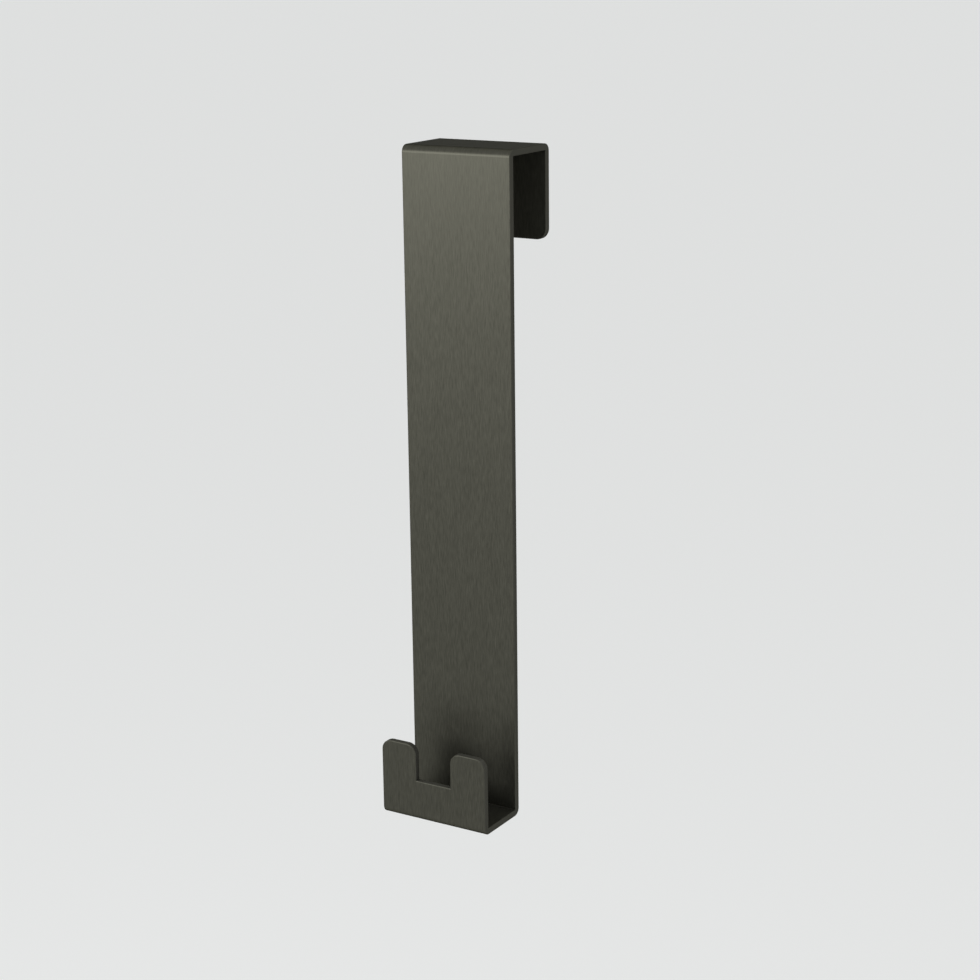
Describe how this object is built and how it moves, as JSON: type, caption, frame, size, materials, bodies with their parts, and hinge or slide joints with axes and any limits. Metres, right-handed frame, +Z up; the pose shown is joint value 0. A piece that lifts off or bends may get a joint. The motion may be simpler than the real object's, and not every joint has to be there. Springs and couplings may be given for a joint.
{
  "type": "shower hook",
  "caption": "Shower hook folded from a strip of dark brushed steel: a channel that hangs over the top edge of a glass panel, a long flat plate and an upturned flange slotted into prongs.",
  "frame": {"origin": "middle of the flat seat under the bridge, where the hook rests on the top edge of the glass", "axes": "+X along the glass edge, -Y to the front where the hook opens, +Z up"},
  "size_m": [0.033, 0.036, 0.182],
  "materials": {
    "gunmetal": "dark gunmetal, fine brushing along the strip"
  },
  "bodies": {
    "root": {"hook": "gunmetal"}
  },
  "joints": []
}
